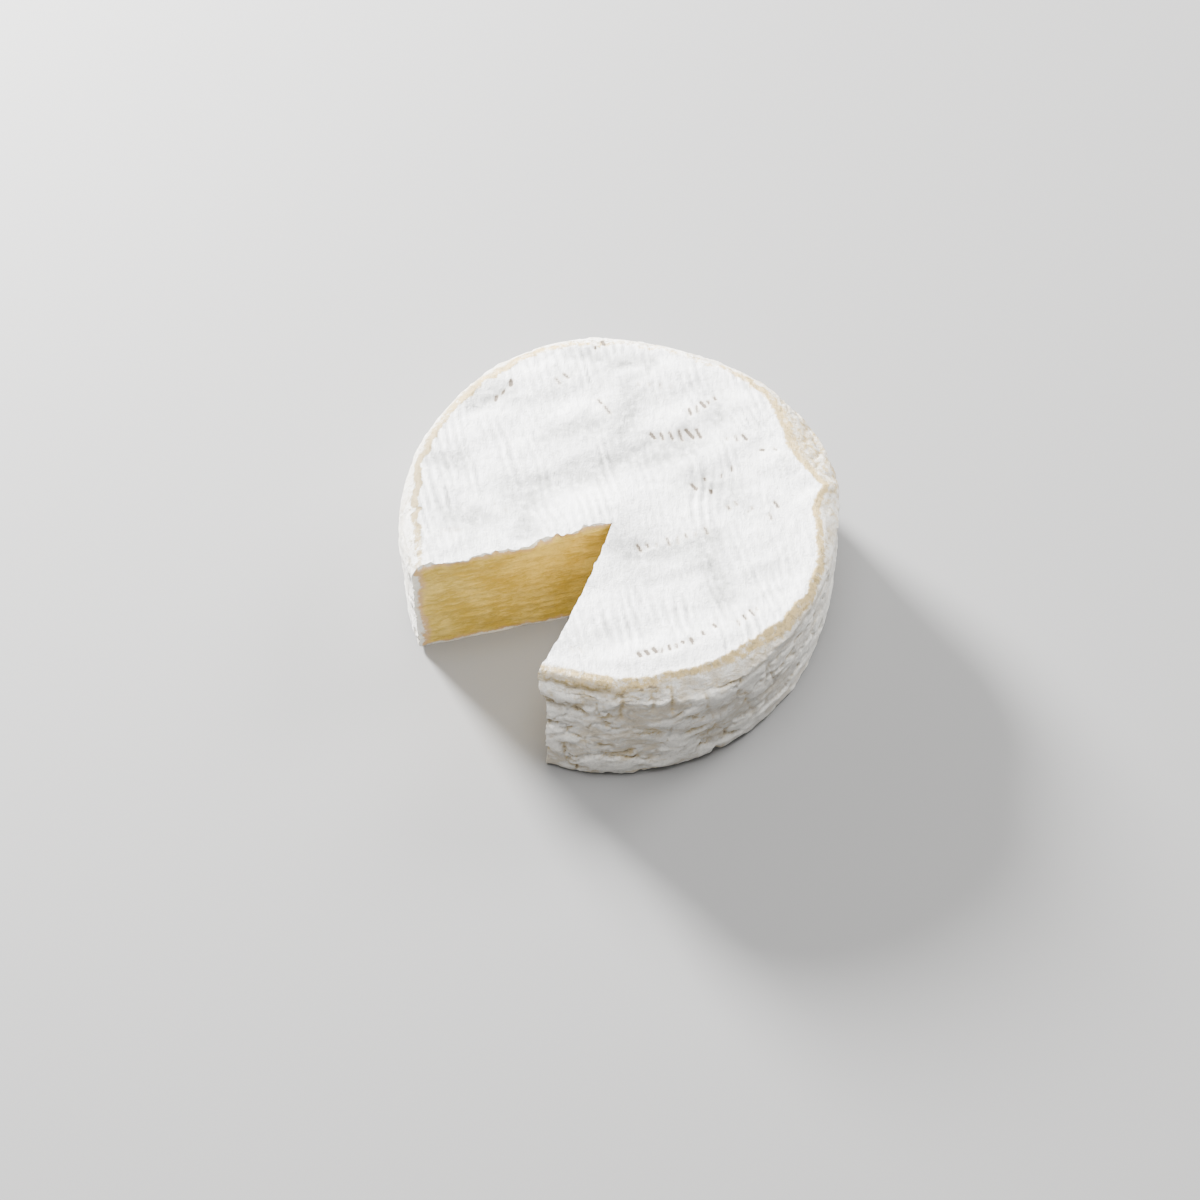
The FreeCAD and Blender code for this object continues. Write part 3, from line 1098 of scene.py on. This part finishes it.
def with_mat_marks(n, place, colour, colours):
    """The short marks of the draining mat, each in a soft halo."""
    marked = n.plus(n.number("mark"), n.swing(n.noise(place, 2.2, 2.0, 0.5, "fleck"), 0.30))
    colour = n.mix(n.times(n.step(marked, 0.08, 0.42), 0.50), colour, colours.stain, "halo of a mark")
    return n.mix(n.times(n.step(marked, 0.30, 0.56), 0.92), colour, colours.mark, "mark")


def rind_material(colours):
    """White mould, thinner in the hollows, worn to tan on the rim and in the creases of the side."""
    material, n, shader = new_material("white_rind", roughness=0.85, specular=0.25)
    place = n.place()
    shade, height = fine_fur(n, place, 1.9, 0.46)
    crest, band = n.number("crest"), n.number("band")
    wander = n.noise(place, 0.35, 4.0, 0.6, "wander")
    side = n.step(n.plus(crest, n.swing(wander, 2.6)), 0.8, 2.2, "side")
    fibres = n.noise(n.place((1250.0, 300.0, 1000.0), 0.27, "fibres"), 1.0, 4.0, 0.62, "fibres", 0.5)
    bark = n.noise(n.place((330.0, 330.0, 1000.0), label="flat folds"), 1.0, 5.0, 0.7, "bark", 0.6)
    broken = n.noise(place, 0.60, 6.0, 0.74, "broken band")
    worn_rim = n.step(n.plus(band, n.swing(broken, 2.4)), 0.15, 0.80, "worn rim")
    worn_rim = n.times(worn_rim, n.step(band, 0.0, 0.2))

    bare = bare_rind_colour(n, place, colours)
    colour = mould_colour(n, place, colours, side, fibres)
    colour = n.mix(n.times(worn_rim, 0.92), colour, bare, "rim")
    colour = with_folds(n, colour, bare, colours, side, bark)
    colour = with_dry_rim(n, place, colour, colours, crest, broken)
    colour = with_mat_marks(n, place, colour, colours)
    put_colour(n, shader, colour, shade, "down")

    # only the mould has a soft sheen
    n.link(n.times(n.less(1.0, worn_rim), 0.22), shader.inputs["Sheen Weight"])
    shader.inputs["Sheen Roughness"].default_value = 0.5
    tall = n.plus(n.plus(height, n.times(fibres, 0.8)), n.times(n.times(bark, side), 1.6))
    put_bump(n, shader, tall, 1.0, 0.0003, "down")
    return material


def paste_material(colours):
    """The cut face: ripe yellow cheese with level streaks, and the cut edge of the rind round it."""
    material, n, shader = new_material("ripe_paste", roughness=0.5, specular=0.35)
    place = n.place()
    shade, height = fine_fur(n, place, 1.6, 0.66)
    streaks = n.noise(n.place((330.0, 330.0, 1150.0), label="level streaks"), 1.0, 6.0, 0.72, "streaks", 0.6)
    clouds = n.noise(place, 0.09, 3.0, 0.5, "clouds")
    blend = n.plus(n.times(streaks, 0.7), n.times(clouds, 0.5))
    colour = n.mix(n.step(blend, 0.48, 0.70), colours.paste, colours.pale_paste, "streaks")
    ragged = n.noise(place, 1.1, 4.0, 0.65, "ragged rind")
    under = n.plus(n.number("depth"), n.swing(ragged, 1.3))
    colour = n.mix(n.step(under, 2.2, 0.8, "skin"), colour, colours.skin, "skin")
    colour = n.mix(n.step(under, 1.0, 0.55, "rind"), colour, colours.mould, "rind")
    put_colour(n, shader, colour, shade, "grain")
    put_bump(n, shader, n.plus(height, n.times(streaks, 1.2)), 0.5, 0.00025, "grain")
    return material


def floor_material(settings):
    """The plain pale floor."""
    material, n, shader = new_material("pale_floor", roughness=0.8, specular=0.5)
    n.put(shader.inputs["Base Color"], settings.floor)
    return material


# ---------------------------------------------------------------- operators


class CHEESE_OT_wheel(bpy.types.Operator):
    """Makes the cheese: the wheel with its rind, with the wedge cut out of it"""

    bl_idname = "cheese.wheel"
    bl_label = "Make the cheese"

    def execute(self, context):
        form = Form(context.scene)
        colours = context.scene.cheese_colours
        wheel = spun_wheel(form)
        remesh(wheel, context.scene.cheese_sizes.grain)
        shaped_rind(wheel, form)
        blade = knife(form)
        for obj in (wheel, blade):
            obj.data.materials.append(bpy.data.materials.get("white_rind") or rind_material(colours))
            obj.data.materials.append(bpy.data.materials.get("ripe_paste") or paste_material(colours))
        cut(wheel, blade)
        thinned_base(wheel.data)
        measured(wheel.data, form)
        sharp_cut_edges(wheel.data)
        lay_out(wheel.data, form)
        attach(wheel, "root")
        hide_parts("cheese")
        return {"FINISHED"}


class CHEESE_OT_stage(bpy.types.Operator):
    """Makes the floor, the light and the camera"""

    bl_idname = "cheese.stage"
    bl_label = "Make the stage"

    def execute(self, context):
        scene, settings = context.scene, context.scene.cheese_stage
        bm = bmesh.new()
        bmesh.ops.create_grid(bm, x_segments=1, y_segments=1, size=3.0)
        floor = made_object("floor", bm)
        floor.data.materials.append(floor_material(settings))

        for name, size, place in LIGHTS:
            light = bpy.data.lights.new(name, "AREA")
            light.shape, light.size, light.energy = "DISK", size, getattr(settings, name)
            lamp = bpy.data.objects.new(name, light)
            lamp.location = place
            lamp.rotation_euler = (Vector(LIT_POINT) - Vector(place)).to_track_quat("-Z", "Y").to_euler()
            scene.collection.objects.link(lamp)
        scene.world = scene.world or bpy.data.worlds.new("sky")
        scene.world.use_nodes = True
        sky = scene.world.node_tree.nodes["Background"]
        sky.inputs["Color"].default_value = (1.0, 1.0, 1.0, 1.0)
        sky.inputs["Strength"].default_value = settings.sky

        camera = bpy.data.cameras.new("camera")
        camera.lens, camera.sensor_width = settings.lens, 36.0
        camera.clip_start, camera.clip_end = 0.01, 20.0
        eye = bpy.data.objects.new("camera", camera)
        eye.location = settings.eye
        eye.rotation_euler = (math.pi / 2 - settings.pitch, 0.0, 0.0)
        scene.collection.objects.link(eye)
        scene.camera = eye
        return {"FINISHED"}


class CHEESE_PT_panel(bpy.types.Panel):
    """The cheese's sizes, colours and operators"""

    bl_idname = "CHEESE_PT_panel"
    bl_label = "Cheese"
    bl_space_type = "VIEW_3D"
    bl_region_type = "UI"
    bl_category = "Cheese"

    def draw(self, context):
        for title, group in (
            ("Wheel", context.scene.cheese_sizes),
            ("Cut", context.scene.cheese_cut),
            ("Colours", context.scene.cheese_colours),
            ("Stage", context.scene.cheese_stage),
        ):
            box = self.layout.box()
            box.label(text=title)
            for name in group.__annotations__:
                box.prop(group, name)
        self.layout.operator("cheese.wheel")
        self.layout.operator("cheese.stage")


GROUPS = {
    "cheese_sizes": CheeseSizes,
    "cheese_cut": CutSizes,
    "cheese_colours": CheeseColours,
    "cheese_stage": StageSettings,
}
CLASSES = (*GROUPS.values(), CHEESE_OT_wheel, CHEESE_OT_stage, CHEESE_PT_panel)


def register():
    for item in CLASSES:
        bpy.utils.register_class(item)
    for name, group in GROUPS.items():
        setattr(bpy.types.Scene, name, bpy.props.PointerProperty(type=group))


def unregister():
    for name in GROUPS:
        delattr(bpy.types.Scene, name)
    for item in reversed(CLASSES):
        bpy.utils.unregister_class(item)


def main():
    register()
    bpy.ops.cheese.wheel()
    bpy.ops.cheese.stage()


if __name__ == "__main__":
    main()
